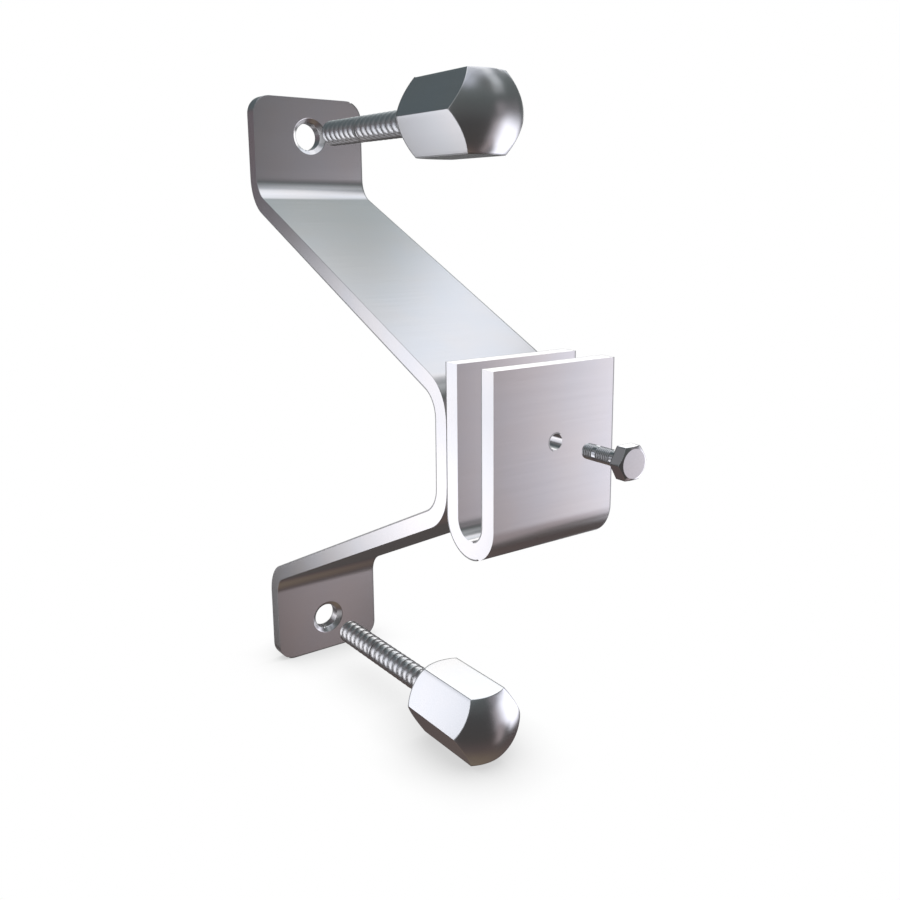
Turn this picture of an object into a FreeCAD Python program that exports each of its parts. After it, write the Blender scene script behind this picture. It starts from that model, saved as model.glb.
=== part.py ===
import FreeCAD, Part
import math
import os

from FreeCAD import Vector

# Bridge bracket that holds the edge of a panel off a wall.
# Millimetres. X runs along the bar's width, +Y into the wall, +Z up.
# The origin is on the wall plane, midway between the two wall holes.

# Flat bar, bent into a bridge with two feet
BAR_WIDTH = 40.0
BAR_THICKNESS = 5.0
BRACKET_HEIGHT = 200.0
BRIDGE_REACH = 114.0
LEG_SLOPE_DEG = 25.0
FOOT_LENGTH = 31.5
BEND_INNER_RADIUS = 8.0
FOOT_CORNER_RADIUS = 6.0

# Countersunk wall holes, one in each foot
WALL_HOLE_SPACING = 175.0
WALL_HOLE_RADIUS = 4.5
COUNTERSINK_RADIUS = 6.0
COUNTERSINK_DEPTH = 1.5

# U channel on the bridge, open at the top
CHANNEL_HEIGHT = 50.0
CHANNEL_TOP_Z = 25.0
CHANNEL_WALL = 5.0
SLOT_WIDTH = 10.0
CLAMP_HOLE_DROP = 20.0
CLAMP_HOLE_RADIUS = 2.1

# Wall bolts, drawn out of their holes along Y
BOLT_SHANK_RADIUS = 4.0
BOLT_SHANK_LENGTH = 58.0
BOLT_TIP_CHAMFER = 1.0
BOLT_HEAD_ACROSS_FLATS = 21.5
BOLT_HEAD_LENGTH = 32.5
BOLT_CROWN_RADIUS = 16.0
BOLT_BEARING_RADIUS = 10.5
BOLT_TRAVEL = 73.5

# Clamp screw, drawn out of the channel's front wall
SCREW_SHANK_RADIUS = 2.0
SCREW_SHANK_LENGTH = 12.5
SCREW_TIP_CHAMFER = 0.4
SCREW_HEAD_ACROSS_FLATS = 8.0
SCREW_HEAD_LENGTH = 3.5
SCREW_HEAD_FACE_RADIUS = 3.55
SCREW_CHAMFER_DEG = 30.0
SCREW_TRAVEL = 24.0

# Places worked out from the sizes above
BEND_OUTER_RADIUS = BEND_INNER_RADIUS + BAR_THICKNESS
CHANNEL_BACK_Y = -BRIDGE_REACH
CHANNEL_DEPTH = 2.0 * CHANNEL_WALL + SLOT_WIDTH
CHANNEL_FRONT_Y = CHANNEL_BACK_Y - CHANNEL_DEPTH
CLAMP_HOLE_Z = CHANNEL_TOP_Z - CLAMP_HOLE_DROP
WALL_HOLE_Z = WALL_HOLE_SPACING / 2.0


def section_point(y, z):
    """A point of a side profile, on the left side face."""
    return Vector(-BAR_WIDTH / 2.0, y, z)


def line(start, end):
    return Part.LineSegment(start, end).toShape()


def offset_corners(corners, distance):
    """The corners of a chain moved sideways, so that every run keeps its distance."""
    directions = [(b - a).normalize() for a, b in zip(corners, corners[1:])]
    normals = [Vector(0, -d.z, d.y) for d in directions]
    moved = [corners[0] + normals[0] * distance]
    for corner, before, after in zip(corners[1:-1], normals, normals[1:]):
        bisector = (before + after).normalize()
        moved.append(corner + bisector * (distance / bisector.dot(after)))
    moved.append(corners[-1] + normals[-1] * distance)
    return moved


def rounded_chain(corners, radii):
    """Straight runs joined by tangent arcs, one radius for each inner corner."""
    edges = []
    start = corners[0]
    for corner, following, radius in zip(corners[1:-1], corners[2:], radii):
        back = (start - corner).normalize()
        ahead = (following - corner).normalize()
        half_angle = back.getAngle(ahead) / 2.0
        setback = radius / math.tan(half_angle)
        middle = (back + ahead).normalize()
        centre = corner + middle * (radius / math.sin(half_angle))
        entry = corner + back * setback
        leave = corner + ahead * setback
        edges.append(line(start, entry))
        edges.append(Part.Arc(entry, centre - middle * radius, leave).toShape())
        start = leave
    edges.append(line(start, corners[-1]))
    return edges


def extruded_profile(edges):
    face = Part.Face(Part.Wire(Part.__sortEdges__(edges)))
    return face.extrude(Vector(BAR_WIDTH, 0, 0))


def turned(outline, axis_z):
    """A solid of revolution about a line along Y; outline lies in the XY plane, closed along the axis."""
    face = Part.Face(Part.Wire(outline))
    solid = face.revolve(Vector(0, 0, 0), Vector(0, 1, 0), 360)
    solid.translate(Vector(0, 0, axis_z))
    return solid


def rod(radius, length, tip_chamfer, tip_y, z):
    """A round shank that starts at its tip and runs out of the wall, along -Y."""
    outline = [
        Vector(0, tip_y, 0),
        Vector(radius - tip_chamfer, tip_y, 0),
        Vector(radius, tip_y - tip_chamfer, 0),
        Vector(radius, tip_y - length, 0),
        Vector(0, tip_y - length, 0),
    ]
    return turned(Part.makePolygon(outline + outline[:1]).Edges, z)


def hex_prism(across_flats, length, back_y, z):
    """A hexagon along -Y with flats above and below."""
    corner_radius = across_flats / math.sqrt(3.0)
    corners = []
    for step in range(7):
        angle = math.radians(60.0 * step)
        corners.append(Vector(corner_radius * math.cos(angle), back_y, z + corner_radius * math.sin(angle)))
    return Part.Face(Part.makePolygon(corners)).extrude(Vector(0, -length, 0))


def crowned_envelope(crown_radius, bearing_radius, length, back_y, z):
    """A round bar with a half-sphere nose and a crowned rim round its flat back; it trims the hexagon."""
    nose_y = back_y - length
    front_centre_y = nose_y + crown_radius
    back_centre_y = back_y - math.sqrt(crown_radius ** 2 - bearing_radius ** 2)

    def on_crown(centre_y, angle):
        return Vector(crown_radius * math.cos(angle), centre_y + crown_radius * math.sin(angle), 0)

    rim_angle = math.acos(bearing_radius / crown_radius)
    back_rim = on_crown(back_centre_y, rim_angle)
    back_shoulder = on_crown(back_centre_y, 0)
    front_shoulder = on_crown(front_centre_y, 0)
    back_middle = Vector(0, back_y, 0)
    nose = Vector(0, nose_y, 0)
    return turned(
        [
            line(back_middle, back_rim),
            Part.Arc(back_rim, on_crown(back_centre_y, rim_angle / 2.0), back_shoulder).toShape(),
            line(back_shoulder, front_shoulder),
            Part.Arc(front_shoulder, on_crown(front_centre_y, -math.pi / 4.0), nose).toShape(),
            line(nose, back_middle),
        ],
        z,
    )


def chamfered_envelope(across_flats, length, face_radius, slope_deg, back_y, z):
    """A round bar with a coned end; it trims the hexagon's front corners."""
    rim_radius = across_flats
    cone_length = (rim_radius - face_radius) * math.tan(math.radians(slope_deg))
    outline = [
        Vector(0, back_y, 0),
        Vector(rim_radius, back_y, 0),
        Vector(rim_radius, back_y - length + cone_length, 0),
        Vector(face_radius, back_y - length, 0),
        Vector(0, back_y - length, 0),
    ]
    return turned(Part.makePolygon(outline + outline[:1]).Edges, z)


def foot_corner_edges(bar):
    """The four short edges across the thickness at the ends of the feet."""
    found = []
    for edge in bar.Edges:
        middle = edge.CenterOfMass
        at_side = abs(abs(middle.x) - BAR_WIDTH / 2.0) < 0.01
        at_end = abs(abs(middle.z) - BRACKET_HEIGHT / 2.0) < 0.01
        if at_side and at_end:
            found.append(edge)
    return found


def bridge_bar():
    foot_end = BRACKET_HEIGHT / 2.0
    foot_corner_z = foot_end - FOOT_LENGTH
    slope = math.tan(math.radians(LEG_SLOPE_DEG))
    plate_corner_z = foot_corner_z - (BRIDGE_REACH - BAR_THICKNESS) * slope
    front = [
        section_point(-BAR_THICKNESS, foot_end),
        section_point(-BAR_THICKNESS, foot_corner_z),
        section_point(-BRIDGE_REACH, plate_corner_z),
        section_point(-BRIDGE_REACH, -plate_corner_z),
        section_point(-BAR_THICKNESS, -foot_corner_z),
        section_point(-BAR_THICKNESS, -foot_end),
    ]
    back = offset_corners(front, BAR_THICKNESS)
    tight, wide = BEND_INNER_RADIUS, BEND_OUTER_RADIUS
    edges = rounded_chain(front, [tight, wide, wide, tight])
    edges += rounded_chain(back, [wide, tight, tight, wide])
    edges += [line(front[0], back[0]), line(front[-1], back[-1])]
    bar = extruded_profile(edges)
    bar = bar.makeFillet(FOOT_CORNER_RADIUS, foot_corner_edges(bar))
    for z in (WALL_HOLE_Z, -WALL_HOLE_Z):
        front_centre = Vector(0, -BAR_THICKNESS, z)
        inward = Vector(0, 1, 0)
        hole = Part.makeCylinder(WALL_HOLE_RADIUS, BAR_THICKNESS, front_centre, inward)
        sink = Part.makeCone(COUNTERSINK_RADIUS, WALL_HOLE_RADIUS, COUNTERSINK_DEPTH, front_centre, inward)
        bar = bar.cut(hole.fuse(sink))
    return bar


def panel_channel():
    outer_radius = CHANNEL_DEPTH / 2.0
    inner_radius = SLOT_WIDTH / 2.0
    middle_y = CHANNEL_BACK_Y - outer_radius
    bend_z = CHANNEL_TOP_Z - CHANNEL_HEIGHT + outer_radius

    def u_line(radius):
        back_top = section_point(middle_y + radius, CHANNEL_TOP_Z)
        back_low = section_point(middle_y + radius, bend_z)
        lowest = section_point(middle_y, bend_z - radius)
        front_low = section_point(middle_y - radius, bend_z)
        front_top = section_point(middle_y - radius, CHANNEL_TOP_Z)
        arc = Part.Arc(back_low, lowest, front_low).toShape()
        return [line(back_top, back_low), arc, line(front_low, front_top)], back_top, front_top

    outer, outer_back, outer_front = u_line(outer_radius)
    inner, inner_back, inner_front = u_line(inner_radius)
    channel = extruded_profile(outer + inner + [line(outer_back, inner_back), line(outer_front, inner_front)])
    hole_mouth = Vector(0, CHANNEL_FRONT_Y, CLAMP_HOLE_Z)
    return channel.cut(Part.makeCylinder(CLAMP_HOLE_RADIUS, CHANNEL_WALL, hole_mouth, Vector(0, 1, 0)))


def wall_bolt(z):
    head_back_y = -BAR_THICKNESS - BOLT_TRAVEL
    tip_y = head_back_y + BOLT_SHANK_LENGTH
    head = hex_prism(BOLT_HEAD_ACROSS_FLATS, BOLT_HEAD_LENGTH, head_back_y, z)
    crown = crowned_envelope(BOLT_CROWN_RADIUS, BOLT_BEARING_RADIUS, BOLT_HEAD_LENGTH, head_back_y, z)
    head = head.common(crown)
    shank = rod(BOLT_SHANK_RADIUS, BOLT_SHANK_LENGTH, BOLT_TIP_CHAMFER, tip_y, z)
    return head.fuse(shank)


def clamp_screw():
    head_back_y = CHANNEL_FRONT_Y - SCREW_TRAVEL
    tip_y = head_back_y + SCREW_SHANK_LENGTH
    head = hex_prism(SCREW_HEAD_ACROSS_FLATS, SCREW_HEAD_LENGTH, head_back_y, CLAMP_HOLE_Z)
    head = head.common(
        chamfered_envelope(
            SCREW_HEAD_ACROSS_FLATS, SCREW_HEAD_LENGTH, SCREW_HEAD_FACE_RADIUS,
            SCREW_CHAMFER_DEG, head_back_y, CLAMP_HOLE_Z,
        )
    )
    shank = rod(SCREW_SHANK_RADIUS, SCREW_SHANK_LENGTH, SCREW_TIP_CHAMFER, tip_y, CLAMP_HOLE_Z)
    return head.fuse(shank)


def single_solid(shape):
    """The one solid of a finished piece."""
    if len(shape.Solids) != 1:
        raise ValueError("a piece came out as %d solids" % len(shape.Solids))
    return shape.Solids[0]


os.makedirs("parts", exist_ok=True)

pieces = {
    "bridge_bar": bridge_bar(),
    "panel_channel": panel_channel(),
    "upper_wall_bolt": wall_bolt(WALL_HOLE_Z),
    "lower_wall_bolt": wall_bolt(-WALL_HOLE_Z),
    "clamp_screw": clamp_screw(),
}
for name, shape in pieces.items():
    solid = single_solid(shape)
    solid.exportStep("parts/%s.step" % name)
    box = solid.BoundBox
    print(name, "valid", solid.isValid(), "volume %.1f" % solid.Volume,
          "x %.2f %.2f" % (box.XMin, box.XMax),
          "y %.2f %.2f" % (box.YMin, box.YMax),
          "z %.2f %.2f" % (box.ZMin, box.ZMax))
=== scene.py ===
import bpy
import bmesh
import math
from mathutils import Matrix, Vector


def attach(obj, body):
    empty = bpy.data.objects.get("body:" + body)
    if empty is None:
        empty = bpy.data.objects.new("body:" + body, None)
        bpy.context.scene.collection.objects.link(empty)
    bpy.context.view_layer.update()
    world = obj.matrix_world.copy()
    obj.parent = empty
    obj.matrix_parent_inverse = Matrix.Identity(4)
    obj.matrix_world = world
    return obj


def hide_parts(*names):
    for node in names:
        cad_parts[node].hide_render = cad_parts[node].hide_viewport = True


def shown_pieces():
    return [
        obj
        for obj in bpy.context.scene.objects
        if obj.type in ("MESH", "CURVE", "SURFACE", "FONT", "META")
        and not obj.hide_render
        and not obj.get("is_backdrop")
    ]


# Bridge bracket that holds the edge of a panel off a wall, with its two wall bolts and clamp screw drawn out.
# Metres, in the frame of the solids: X along the bar's width, +Y into the wall, +Z up. Angles are in degrees.
MM = 0.001

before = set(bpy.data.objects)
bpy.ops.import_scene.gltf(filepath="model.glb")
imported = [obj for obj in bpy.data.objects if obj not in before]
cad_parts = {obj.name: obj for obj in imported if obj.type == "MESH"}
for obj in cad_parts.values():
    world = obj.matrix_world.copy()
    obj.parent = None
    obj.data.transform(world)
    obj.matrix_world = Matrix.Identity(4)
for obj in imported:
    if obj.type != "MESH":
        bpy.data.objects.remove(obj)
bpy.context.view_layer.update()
scene = bpy.context.scene
scene.view_settings.view_transform = "Standard"

# Camera, at the photograph's place: it looks towards the wall, to the right and down. Blender takes its lens in mm.
CAMERA_PLACE = (-156.2 * MM, -311.75 * MM, 61.38 * MM)
CAMERA_RIGHT = 37.45
CAMERA_DOWN = 12.03
CAMERA_SENSOR = 36.0
CAMERA_LENS = 38.234
CAMERA_SHIFT = (-0.0481, -0.0349)
CAMERA_NEAR = 10.0 * MM

# The heads' backs stand this much further out than in the solids, so that they only just clear what they seat on
SEAT_CLEARANCE = 0.02 * MM
# How far a shank runs on into its head
BOLT_OVERLAP = 0.5 * MM
SCREW_OVERLAP = 0.3 * MM

# Wall bolts: a hexagon head with a spherical nose and back rim, and a rolled thread with one seam in it
BOLT_Z = 87.5 * MM
BOLT_ACROSS_FLATS = 21.5 * MM
BOLT_CROWN_RADIUS = 16.0 * MM
BOLT_BEARING_RADIUS = 10.5 * MM
BOLT_NOSE_Y = -111.0 * MM
BOLT_BACK_Y = -78.5 * MM - SEAT_CLEARANCE
BOLT_TIP_Y = -20.5 * MM
BOLT_SHANK_RADIUS = 4.0 * MM
BOLT_TIP_ROUND = 1.2 * MM
BOLT_PITCH = 2.96 * MM
BOLT_GROOVE = 0.24 * MM
SEAM_Y = -42.3 * MM
SEAM_HALF = 0.14 * MM
SEAM_GROOVE = 0.36 * MM
# Where the thread stands in its turn on each side of the seam, in turns
TIP_PHASE = -0.25
HEAD_PHASE = 0.43

# Clamp screw: a hexagon head with a sloped front rim, and a fine thread that has a plain band in it and ends before
# the head
SCREW_Z = 5.0 * MM
SCREW_ACROSS_FLATS = 8.0 * MM
SCREW_FACE_RADIUS = 3.55 * MM
SCREW_SLOPE = math.tan(math.radians(30.0))
SCREW_FRONT_Y = -161.5 * MM
SCREW_BACK_Y = -158.0 * MM - SEAT_CLEARANCE
SCREW_TIP_Y = -145.5 * MM
SCREW_SHANK_RADIUS = 2.0 * MM
SCREW_TIP_ROUND = 0.4 * MM
SCREW_PITCH = 0.6 * MM
SCREW_GROOVE = 0.2 * MM
SCREW_BAND_Y = (-149.1 * MM, -150.3 * MM)
SCREW_THREAD_END_Y = -155.0 * MM

# How full the crests of the threads are: below 1 they are broad and the grooves narrow
BOLT_CREST = 0.7
SCREW_CREST = 0.9

# Fineness of the meshes: spokes to a flat and round a shank, rings to a pitch, and the rings of the heads' ends, first
# as shares of the round middle's radius and then of the way from there to the flats
HEAD_SPOKES = 24
SHANK_SPOKES = 64
BOLT_STEPS = 20
SCREW_STEPS = 12
BOLT_RINGS = ([0.14, 0.28, 0.42, 0.56, 0.69, 0.8, 0.9, 1.0], [0.3, 0.6, 1.0])
SCREW_RINGS = ([0.3, 0.6, 0.85, 1.0], [0.5, 1.0])

# Bar and channel: the plane where they lie flush on one another, and what counts as one point, flat and in the plane
JOIN_Y = -114.0 * MM
SAME_POINT = 0.002 * MM
FLAT_ANGLE = 0.3
IN_PLANE = 0.01 * MM

# Edges: how wide their rounds are at most, and the painted shade line next to those that border the side hidden from
# the camera's view; those rounds are painted dark as shade too
PLATE_ROUND = 0.35 * MM
BOLT_ROUND = 0.35 * MM
SCREW_ROUND = 0.18 * MM
NEAR_ROUND_SHARE = 0.6
ROUND_STEPS = 4
NO_LENGTH = 0.001 * MM
LINE_WIDTH = 0.08 * MM
SHARP_ANGLE = 33.0
SHADED_SHARP_ANGLE = 28.0
HIDDEN_SIDE = Vector((0.57, 0.78, -0.26))

# Steel: waves in a metre of its clouds and flecks, how drawn out its grain is, and how far they move tint, sheen and
# height
CLOUD_SCALE = 45.0
FLECK_SCALE = 3000.0
GRAIN_RUN = 0.02
TINT_SWING = 0.015
CLOUD_SHEEN = 0.04
GRAIN_SHEEN = 0.03
FLECK_HEIGHT = 0.3
BUMP_STRENGTH = 0.12

# Floor: its half width and paint, and its close shadow, which runs from the darkest level at the first share of open
# sky to white at the second
FLOOR_Z = -100.0 * MM
FLOOR_HALF = 6.0
FLOOR_PAINT = (0.9, 0.9, 0.9, 1.0)
SHADOW_REACH = 21.0 * MM
SHADOW_SKY = (0.3, 0.95)
SHADOW_DARKEST = 0.64
SHADOW_SAMPLES = 16
WHITE = (1.0, 1.0, 1.0, 1.0)

# Surround that the steel mirrors. Its colours are what the steel should show, so its light is brighter by what the
# steel takes.
SURROUND_CENTRE = Vector((0.0, -65.0 * MM, 25.0 * MM))
SURROUND_RADIUS = 340.0 * MM
SURROUND_STRENGTH = 1.5
IN_DEGREES = math.degrees(1.0)

# Its grey levels by height, from straight down to straight up, in display values
SURROUND_LEVELS = [
    (-90, (110, 101, 90)), (-75, (103, 92, 82)), (-60, (82, 73, 72)), (-42, (67, 64, 63)), (-5, (66, 65, 65)),
    (12, (77, 78, 78)), (30, (83, 87, 87)), (42, (92, 97, 97)), (52, (107, 112, 113)), (60, (141, 145, 150)),
    (72, (176, 179, 186)), (90, (200, 203, 208)),
]
# Its soft areas, later ones over earlier ones. Each has its start and end round the horizon, with the half widths of
# those edges, then the same for its height, and then its display colour and strength. Azimuth 0 is +Y and 90 is +X.
# The fills are for the views from other sides.
SOFT_AREAS = [
    ("ceiling_fill", (-144, -2, 8, 8), (66, 100, 8, 8), (226, 228, 232), 1.0),
    ("side_fill", (-110, -90, 6, 6), (-50, 50, 15, 12), (190, 191, 194), 1.0),
    ("rear_fill", (-5, 12, 6, 6), (-44, -5, 6, 6), (160, 158, 160), 1.0),
    ("rear_right_fill", (54, 70, 6, 5), (-40, -2, 8, 6), (200, 200, 203), 1.0),
    ("rear_dark", (-36, 14, 8, 8), (24, 64, 5, 8), (78, 86, 89), 1.0),
    ("left_haze", (-58, -38, 6, 6), (22, 38, 6, 6), (118, 118, 120), 1.0),
    ("rear_dusk", (-36, -12, 6, 6), (5, 22, 6, 4), (94, 86, 90), 1.0),
    ("ceiling_wing", (8, 50, 8, 10), (28, 60, 8, 8), (144, 152, 152), 1.0),
    ("ceiling_right", (98, 134, 6, 7), (61, 100, 4, 8), (247, 248, 251), 1.0),
    ("ceiling", (18, 98, 12, 6), (62, 100, 8, 8), (247, 248, 251), 1.0),
    ("ceiling_left", (24, 46, 8, 8), (50, 68, 7, 8), (236, 238, 242), 1.0),
    ("ceiling_low", (47, 71, 9, 4), (35, 64, 6, 8), (232, 237, 244), 1.0),
    ("ceiling_low_end", (68, 86, 4, 4), (46, 60, 3, 6), (248, 249, 253), 1.0),
    ("front_ceiling", (-172, -128, 10, 12), (52, 76, 9, 10), (178, 182, 192), 1.0),
    ("front_right_dark", (148, 174, 6, 6), (42, 62, 6, 6), (92, 95, 95), 1.0),
    ("right_haze_low", (126, 154, 4, 5), (38, 47, 4, 4), (140, 143, 145), 1.0),
    ("right_haze", (119, 146, 4, 5), (46, 62, 4, 8), (180, 184, 187), 1.0),
    ("right_veil", (92, 156, 10, 4), (12, 25, 6, 6), (104, 102, 104), 1.0),
    ("right_flank", (128, 160, 8, 8), (-34, 2, 6, 10), (160, 153, 156), 1.0),
    ("right_card", (80, 142, 6, 13), (-43, 7, 5, 12), (247, 246, 255), 1.25),
    ("right_card_slope", (137, 156, 6, 6), (-42, -27, 6, 5), (138, 128, 130), 1.0),
    ("right_card_corner", (123, 142, 6, 5), (-60, -35, 8, 5), (82, 78, 77), 1.0),
    ("upper_foot_glow", (136, 155, 8, 4), (8, 25, 6, 5), (126, 122, 125), 1.0),
    ("lower_foot_glow", (140, 156, 5, 8), (-53, -33, 5, 6), (146, 136, 137), 1.0),
    ("left_card_low", (-54, -34, 4, 11), (-39, -20, 5, 6), (250, 250, 255), 1.35),
    ("left_card_middle", (-54, -27, 4, 13), (-26, -16, 6, 5), (250, 250, 255), 1.35),
    ("left_card", (-55, -30, 4, 13), (-18, 3, 6, 6), (246, 247, 253), 1.2),
    ("left_card_top", (-57, -38, 3, 6), (1, 14, 5, 5), (218, 221, 230), 1.0),
    ("rear_right_card", (23, 62, 5, 6), (7, 30, 2, 4), (255, 255, 255), 1.25),
]


def place_camera():
    data = bpy.data.cameras.new("camera")
    data.sensor_width = CAMERA_SENSOR
    data.lens = CAMERA_LENS
    data.shift_x, data.shift_y = CAMERA_SHIFT
    data.clip_start = CAMERA_NEAR
    camera = bpy.data.objects.new("camera", data)
    camera.location = CAMERA_PLACE
    camera.rotation_euler = (math.radians(90.0 - CAMERA_DOWN), 0.0, math.radians(-CAMERA_RIGHT))
    scene.collection.objects.link(camera)
    scene.camera = camera


place_camera()


# Node helpers
def new_material(name):
    material = bpy.data.materials.new(name)
    material.use_nodes = True
    material.node_tree.nodes.clear()
    return material, material.node_tree


def add(tree, kind, inputs=None, **settings):
    """A new node with its settings. Each input is a value or another node's socket."""
    node = tree.nodes.new(kind)
    for key, value in settings.items():
        setattr(node, key, value)
    for key, value in (inputs or {}).items():
        socket = node.inputs[key]
        if isinstance(value, bpy.types.NodeSocket):
            tree.links.new(value, socket)
        else:
            socket.default_value = value
    return node


def maths(tree, operation, a, b=0.0):
    return add(tree, "ShaderNodeMath", {0: a, 1: b}, operation=operation).outputs[0]


def noise(tree, place, scale, detail, roughness=0.5):
    inputs = {"Vector": place, "Scale": scale, "Detail": detail, "Roughness": roughness}
    return add(tree, "ShaderNodeTexNoise", inputs).outputs["Fac"]


def smooth_range(tree, value, start, end, low=0.0, high=1.0):
    inputs = {"Value": value, "From Min": start, "From Max": end, "To Min": low, "To Max": high}
    return add(tree, "ShaderNodeMapRange", inputs, interpolation_type="SMOOTHSTEP").outputs["Result"]


def mix_colour(tree, factor, a, b):
    return add(tree, "ShaderNodeMix", {0: factor, 6: a, 7: b}, data_type="RGBA").outputs[2]


def linear(red, green, blue):
    """A colour given in display values from 0 to 255, as the shader takes it."""
    def one(v):
        v /= 255.0
        return v / 12.92 if v <= 0.04045 else ((v + 0.055) / 1.055) ** 2.4
    return (one(red), one(green), one(blue), 1.0)


def tinted(colour, swing):
    """A colour made warmer by the swing, or cooler where the swing is below 0."""
    red, green, blue = colour
    return (red * (1.0 + swing), green, blue * (1.0 - swing), 1.0)


# Steel
def steel(name, colour, roughness, grain_axis, grain_scale, bump_depth):
    """Satin steel with fine drawn grain along one axis, slow changes of sheen and tint, and fine flecks."""
    material, tree = new_material(name)
    place = add(tree, "ShaderNodeTexCoord").outputs["Object"]
    stretch = [grain_scale, grain_scale, grain_scale]
    stretch["XYZ".index(grain_axis)] = grain_scale * GRAIN_RUN
    grain_place = add(tree, "ShaderNodeMapping", {"Vector": place, "Scale": stretch}).outputs[0]
    grain = noise(tree, grain_place, 1.0, detail=4.0, roughness=0.6)
    cloud = noise(tree, place, CLOUD_SCALE, detail=3.0)
    fleck = noise(tree, place, FLECK_SCALE, detail=2.0)
    tint = smooth_range(tree, cloud, 0.3, 0.7)
    base = mix_colour(tree, tint, tinted(colour, TINT_SWING), tinted(colour, -TINT_SWING))
    streak = smooth_range(tree, grain, 0.25, 0.75, 1.0 - TINT_SWING, 1.0 + TINT_SWING)
    base = add(tree, "ShaderNodeVectorMath", {0: base, "Scale": streak}, operation="SCALE").outputs[0]
    middle = (CLOUD_SHEEN + GRAIN_SHEEN) / 2.0
    rough = maths(tree, "ADD", maths(tree, "MULTIPLY", cloud, CLOUD_SHEEN), roughness - middle)
    rough = maths(tree, "ADD", rough, maths(tree, "MULTIPLY", grain, GRAIN_SHEEN))
    height = maths(tree, "ADD", grain, maths(tree, "MULTIPLY", fleck, FLECK_HEIGHT))
    bump = add(tree, "ShaderNodeBump", {"Height": height, "Strength": BUMP_STRENGTH, "Distance": bump_depth})
    look = {"Base Color": base, "Metallic": 1.0, "Roughness": rough, "Normal": bump.outputs[0]}
    shader = add(tree, "ShaderNodeBsdfPrincipled", look)
    add(tree, "ShaderNodeOutputMaterial", {"Surface": shader.outputs[0]})
    return material


PLATE_LOOK = {
    "colour": (0.66, 0.65, 0.66), "roughness": 0.24, "grain_axis": "X", "grain_scale": 900.0, "bump_depth": 0.02 * MM,
}
BOLT_LOOK = {"colour": (0.66, 0.66, 0.67), "grain_axis": "Y", "grain_scale": 1100.0}
bar_steel = steel("bar_steel", **PLATE_LOOK)
channel_steel = steel("channel_steel", **PLATE_LOOK)
head_steel = steel("head_steel", roughness=0.24, bump_depth=0.02 * MM, **BOLT_LOOK)
thread_steel = steel("thread_steel", roughness=0.3, bump_depth=0.01 * MM, **BOLT_LOOK)
screw_steel = steel("screw_steel", colour=(0.63, 0.63, 0.65), roughness=0.13, grain_axis="Y", grain_scale=1600.0,
                    bump_depth=0.01 * MM)
# Dark steel for painted shade: the rounds and narrow lines along edges that border the side looking away are painted
# dark, like an outline
painted_edge_shade = steel("painted_edge_shade", colour=(0.36, 0.36, 0.36), roughness=0.4, grain_axis="X", grain_scale=900.0,
                   bump_depth=0.01 * MM)


# Mesh helpers
def object_of(name, mesh):
    """A new object in the scene, made of a bmesh that ends here."""
    data = bpy.data.meshes.new(name)
    mesh.to_mesh(data)
    mesh.free()
    made = bpy.data.objects.new(name, data)
    scene.collection.objects.link(made)
    return made


def join_rings(mesh, a, b, index=0):
    """Faces between two rings with as many points each."""
    count = len(a)
    for k in range(count):
        face = mesh.faces.new((a[k], a[(k + 1) % count], b[(k + 1) % count], b[k]))
        face.material_index = index


def close_ends(mesh, rings, ends, z, index=0):
    """A fan of faces in each of two rings, about a point on the line at that end's y."""
    first, last = rings
    first_point = mesh.verts.new((0.0, ends[0], z))
    last_point = mesh.verts.new((0.0, ends[1], z))
    count = len(first)
    for k in range(count):
        after = (k + 1) % count
        for corners in ((first_point, first[after], first[k]), (last_point, last[k], last[after])):
            mesh.faces.new(corners).material_index = index


def hexagon_head(across_flats, z, reach, core, rings):
    """A hexagon about a line along -Y whose ends follow reach(radius, end) -> y. Its end faces have round rings out
    to the core radius, at the first shares of it, and then rings at the other shares of the way to the flats."""
    mesh = bmesh.new()
    corner_angle = math.pi / 3.0
    apothem = across_flats / 2.0
    count = 6 * HEAD_SPOKES
    angles = [2.0 * math.pi * k / count for k in range(count)]
    outline = [apothem / math.cos(angle % corner_angle - corner_angle / 2.0) for angle in angles]

    def ring(inner_share, outer_share, end):
        made = []
        for angle, limit in zip(angles, outline):
            radius = core * inner_share + (limit - core) * outer_share
            place = (radius * math.cos(angle), reach(radius, end), z + radius * math.sin(angle))
            made.append(mesh.verts.new(place))
        return made

    inner, outer = rings
    shares = [(share, 0.0) for share in inner] + [(1.0, share) for share in outer]
    front = [ring(*share, "front") for share in shares]
    back = [ring(*share, "back") for share in shares]
    for a, b in zip(front, front[1:]):
        join_rings(mesh, a, b)
    for a, b in zip(back, back[1:]):
        join_rings(mesh, b, a)
    join_rings(mesh, front[-1], back[-1])
    close_ends(mesh, (front[0], back[0]), (reach(0.0, "front"), reach(0.0, "back")), z)
    bmesh.ops.recalc_face_normals(mesh, faces=mesh.faces)
    return mesh


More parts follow.
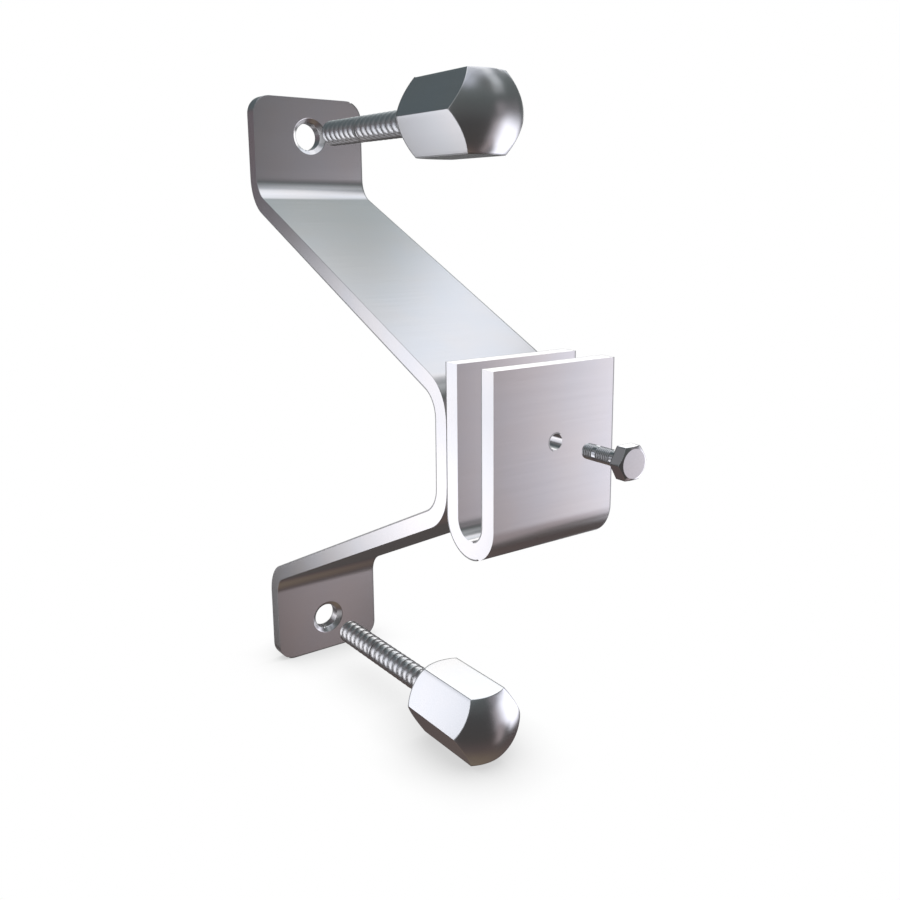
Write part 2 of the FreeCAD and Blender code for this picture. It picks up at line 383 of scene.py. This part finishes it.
def threaded_shank(mesh, z, radius, ends, runs, pitch, groove, gap_groove, tip_round, crest_power, steps, index):
    """A round shank with a right-handed rolled thread, with steps rings to a pitch. Each run of thread is
    (from y, to y, phase). Between the runs the shank is plain, and smaller by the gap's groove."""
    tip_y, end_y = ends
    length = tip_y - end_y
    count = int(round(length / pitch * steps))
    rings = []
    for k in range(count + 1):
        into = length * k / count
        y = tip_y - into
        crown = 0.0
        if into < tip_round:
            crown = tip_round - math.sqrt(tip_round ** 2 - (tip_round - into) ** 2)
        fade = min(1.0, into / (2.0 * tip_round))
        run = [(start, phase) for start, stop, phase in runs if stop <= y <= start]
        ring = []
        for spoke in range(SHANK_SPOKES):
            turn = spoke / SHANK_SPOKES
            depth = gap_groove
            if run:
                start, phase = run[0]
                crest = abs(math.sin(math.pi * ((start - y) / pitch - turn + phase)))
                depth = groove * (1.0 - crest ** crest_power)
            out = radius - crown - depth * fade
            angle = 2.0 * math.pi * turn
            ring.append(mesh.verts.new((out * math.cos(angle), y, z + out * math.sin(angle))))
        rings.append(ring)
    for a, b in zip(rings, rings[1:]):
        join_rings(mesh, a, b, index)
    close_ends(mesh, (rings[0], rings[-1]), ends, z, index)


def looks_away(face):
    """Whether a face is on the side of the bracket that the photograph hides."""
    return face.normal.dot(HIDDEN_SIDE) > 0.0


def is_sharp(edge):
    return len(edge.link_faces) == 2 and edge.calc_face_angle() > math.radians(SHARP_ANGLE)


def painted_shade_lines(mesh, width, dark):
    """A narrow line of painted shade on the near faces, along every sharp edge that they share with a face that looks
    away.
    """
    near = [face for face in mesh.faces if not looks_away(face)]
    made = bmesh.ops.inset_region(mesh, faces=near, thickness=width, depth=0.0, use_even_offset=True)
    for face in made["faces"]:
        if any(is_sharp(edge) for edge in face.edges):
            face.material_index = dark


def round_edges(mesh, width, dark, skip=None):
    """A small round on the sharp edges, as wide as there is room for up to the width, and less between two near
    faces. The rounds next to a face that looks away are painted dark as shade, with a painted shade line beside them."""
    painted_shade_lines(mesh, width + LINE_WIDTH, dark)
    hidden = []
    near = []
    for edge in mesh.edges:
        if is_sharp(edge) and not (skip and skip(edge)):
            (hidden if any(looks_away(face) for face in edge.link_faces) else near).append(edge)
    shape = {
        "offset_type": "OFFSET", "profile": 0.5, "affect": "EDGES", "clamp_overlap": True, "segments": ROUND_STEPS,
    }
    bmesh.ops.bevel(mesh, geom=hidden, offset=width, material=dark, **shape)
    near = [edge for edge in near if edge.is_valid]
    bmesh.ops.bevel(mesh, geom=near, offset=width * NEAR_ROUND_SHARE, material=-1, **shape)
    # Rounds that run out to nothing leave faces without area, which go.
    bmesh.ops.dissolve_degenerate(mesh, dist=NO_LENGTH, edges=mesh.edges)


def make_piece(name, mesh, materials, body, node):
    """The piece that stands for a node of the solids, shaded flat across its faces and round in its rounds."""
    bmesh.ops.recalc_face_normals(mesh, faces=mesh.faces)
    made = object_of(name, mesh)
    for material in materials:
        made.data.materials.append(material)
    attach(made, body)
    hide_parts(node)
    if made.data.has_custom_normals:
        made.data.attributes.remove(made.data.attributes["custom_normal"])
    for polygon in made.data.polygons:
        polygon.use_smooth = True
    made.data.set_sharp_from_angle(angle=math.radians(SHADED_SHARP_ANGLE))
    even = made.modifiers.new("even_faces", "WEIGHTED_NORMAL")
    even.keep_sharp = True


# Bolts and screw
def bolt_reach(radius, end):
    """Where a wall bolt's head ends at a radius: the front is all sphere, and the back is flat within a round rim."""
    if end == "front":
        return BOLT_NOSE_Y + BOLT_CROWN_RADIUS - math.sqrt(BOLT_CROWN_RADIUS ** 2 - radius ** 2)
    if radius <= BOLT_BEARING_RADIUS:
        return BOLT_BACK_Y
    rim = math.sqrt(BOLT_CROWN_RADIUS ** 2 - BOLT_BEARING_RADIUS ** 2)
    return BOLT_BACK_Y - (rim - math.sqrt(BOLT_CROWN_RADIUS ** 2 - radius ** 2))


def wall_bolt(name, body, node, z):
    materials = [head_steel, thread_steel, painted_edge_shade]
    mesh = hexagon_head(BOLT_ACROSS_FLATS, z, bolt_reach, BOLT_BEARING_RADIUS, BOLT_RINGS)
    round_edges(mesh, BOLT_ROUND, materials.index(painted_edge_shade))
    end_y = BOLT_BACK_Y - BOLT_OVERLAP
    runs = [(BOLT_TIP_Y, SEAM_Y + SEAM_HALF, TIP_PHASE), (SEAM_Y - SEAM_HALF, end_y, HEAD_PHASE)]
    threaded_shank(mesh, z, BOLT_SHANK_RADIUS, (BOLT_TIP_Y, end_y), runs, pitch=BOLT_PITCH, groove=BOLT_GROOVE,
                   gap_groove=SEAM_GROOVE, tip_round=BOLT_TIP_ROUND, crest_power=BOLT_CREST, steps=BOLT_STEPS,
                   index=materials.index(thread_steel))
    make_piece(name, mesh, materials, body, node)


wall_bolt("upper_bolt_dressed", "upper_bolt", "upper_wall_bolt", BOLT_Z)
wall_bolt("lower_bolt_dressed", "lower_bolt", "lower_wall_bolt", -BOLT_Z)


def screw_reach(radius, end):
    """Where the clamp screw's head ends at a radius: the back is flat, and the front is flat within a sloped rim."""
    if end == "back":
        return SCREW_BACK_Y
    return SCREW_FRONT_Y + max(0.0, radius - SCREW_FACE_RADIUS) * SCREW_SLOPE


def clamp_screw():
    materials = [screw_steel, painted_edge_shade]
    mesh = hexagon_head(SCREW_ACROSS_FLATS, SCREW_Z, screw_reach, SCREW_FACE_RADIUS, SCREW_RINGS)
    round_edges(mesh, SCREW_ROUND, materials.index(painted_edge_shade))
    end_y = SCREW_BACK_Y - SCREW_OVERLAP
    band_start, band_end = SCREW_BAND_Y
    runs = [(SCREW_TIP_Y, band_start, 0.0), (band_end, SCREW_THREAD_END_Y, 0.0)]
    threaded_shank(mesh, SCREW_Z, SCREW_SHANK_RADIUS, (SCREW_TIP_Y, end_y), runs, pitch=SCREW_PITCH,
                   groove=SCREW_GROOVE, gap_groove=0.0, tip_round=SCREW_TIP_ROUND, crest_power=SCREW_CREST,
                   steps=SCREW_STEPS, index=materials.index(screw_steel))
    make_piece("clamp_screw_dressed", mesh, materials, "clamp", "clamp_screw")


clamp_screw()


# Bar and channel: the solids' own shapes, with their edges rounded except where the two lie flush on one another
def is_flush(edge):
    return all(abs(vert.co.y - JOIN_Y) < IN_PLANE for vert in edge.verts)


def plate_piece(name, node, material):
    materials = [material, painted_edge_shade]
    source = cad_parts[node]
    mesh = bmesh.new()
    mesh.from_mesh(source.data)
    mesh.transform(source.matrix_world)
    bmesh.ops.remove_doubles(mesh, verts=mesh.verts, dist=SAME_POINT)
    bmesh.ops.dissolve_limit(mesh, angle_limit=math.radians(FLAT_ANGLE), verts=mesh.verts, edges=mesh.edges)
    for face in mesh.faces:
        face.material_index = 0
    round_edges(mesh, PLATE_ROUND, materials.index(painted_edge_shade), skip=is_flush)
    make_piece(name, mesh, materials, "bracket", node)


plate_piece("bridge_bar_dressed", "bridge_bar", bar_steel)
plate_piece("panel_channel_dressed", "panel_channel", channel_steel)


# Studio: a white background, a pale floor, and the surround
def white_world():
    world = bpy.data.worlds.new("studio")
    world.use_nodes = True
    scene.world = world
    tree = world.node_tree
    tree.nodes.clear()
    back = add(tree, "ShaderNodeBackground", {"Color": WHITE, "Strength": 1.0})
    add(tree, "ShaderNodeOutputWorld", {"Surface": back.outputs[0]})


def pale_floor():
    mesh = bmesh.new()
    corners = ((-1, -1), (1, -1), (1, 1), (-1, 1))
    mesh.faces.new([mesh.verts.new((x * FLOOR_HALF, y * FLOOR_HALF, FLOOR_Z)) for x, y in corners])
    floor = object_of("floor", mesh)
    floor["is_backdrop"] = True
    floor.visible_glossy = False
    material, tree = new_material("floor_white")
    # Seen by the camera, the floor is white with a close soft shadow. To all other light it is plain and matt.
    seen = add(tree, "ShaderNodeLightPath").outputs["Is Camera Ray"]
    sky = add(tree, "ShaderNodeAmbientOcclusion", {"Distance": SHADOW_REACH}, samples=SHADOW_SAMPLES).outputs["AO"]
    span = {"Value": sky, "From Min": SHADOW_SKY[0], "From Max": SHADOW_SKY[1], "To Min": SHADOW_DARKEST}
    level = add(tree, "ShaderNodeMapRange", span).outputs[0]
    white = add(tree, "ShaderNodeEmission", {"Color": WHITE, "Strength": level})
    matt = add(tree, "ShaderNodeBsdfDiffuse", {"Color": FLOOR_PAINT})
    shader = add(tree, "ShaderNodeMixShader", {0: seen, 1: matt.outputs[0], 2: white.outputs[0]})
    add(tree, "ShaderNodeOutputMaterial", {"Surface": shader.outputs[0]})
    floor.data.materials.append(material)


def soft_band(tree, value, start, end, start_edge, end_edge):
    rising = smooth_range(tree, value, start - start_edge, start + start_edge)
    falling = smooth_range(tree, value, end + end_edge, end - end_edge)
    return maths(tree, "MULTIPLY", rising, falling)


def level_ramp(tree, elevation):
    """The surround's grey levels, by height."""
    height = add(tree, "ShaderNodeMapRange", {"Value": elevation, "From Min": -90.0, "From Max": 90.0}).outputs[0]
    ramp = add(tree, "ShaderNodeValToRGB", {0: height})
    elements = ramp.color_ramp.elements
    elements.remove(elements[1])
    for k, (level, display) in enumerate(SURROUND_LEVELS):
        position = (level + 90.0) / 180.0
        element = elements[0] if k == 0 else elements.new(position)
        element.position = position
        element.color = linear(*display)
    return ramp.outputs[0]


def surround():
    """A dome that only the steel's reflections see."""
    mesh = bmesh.new()
    bmesh.ops.create_uvsphere(mesh, u_segments=64, v_segments=32, radius=SURROUND_RADIUS)
    dome = object_of("surround", mesh)
    dome.location = SURROUND_CENTRE
    dome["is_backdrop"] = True
    dome.visible_camera = False
    dome.visible_diffuse = False
    dome.visible_transmission = False
    dome.visible_shadow = False
    material, tree = new_material("surround_light")
    place = add(tree, "ShaderNodeTexCoord").outputs["Object"]
    unit = add(tree, "ShaderNodeVectorMath", {0: place}, operation="NORMALIZE").outputs[0]
    x, y, z = add(tree, "ShaderNodeSeparateXYZ", {0: unit}).outputs
    azimuth = maths(tree, "MULTIPLY", maths(tree, "ARCTAN2", x, y), IN_DEGREES)
    elevation = maths(tree, "MULTIPLY", maths(tree, "ARCSINE", z), IN_DEGREES)
    colour = level_ramp(tree, elevation)
    for name, across, upright, display, strength in SOFT_AREAS:
        start, end, start_edge, end_edge = across
        middle = (start + end) / 2.0
        turn = maths(tree, "SUBTRACT", azimuth, middle)
        turn = add(tree, "ShaderNodeMath", {0: turn, 1: 180.0, 2: -180.0}, operation="WRAP").outputs[0]
        sideways = soft_band(tree, turn, start - middle, end - middle, start_edge, end_edge)
        mask = maths(tree, "MULTIPLY", sideways, soft_band(tree, elevation, *upright))
        mask.node.label = name
        lit = tuple(c * strength for c in linear(*display)[:3]) + (1.0,)
        colour = mix_colour(tree, mask, colour, lit)
    light = add(tree, "ShaderNodeEmission", {"Color": colour, "Strength": SURROUND_STRENGTH})
    add(tree, "ShaderNodeOutputMaterial", {"Surface": light.outputs[0]})
    dome.data.materials.append(material)
    for polygon in dome.data.polygons:
        polygon.use_smooth = True


white_world()
pale_floor()
surround()

# The steel mirrors only the surround, as in the photograph, where no piece mirrors another
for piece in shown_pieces():
    piece.visible_glossy = False
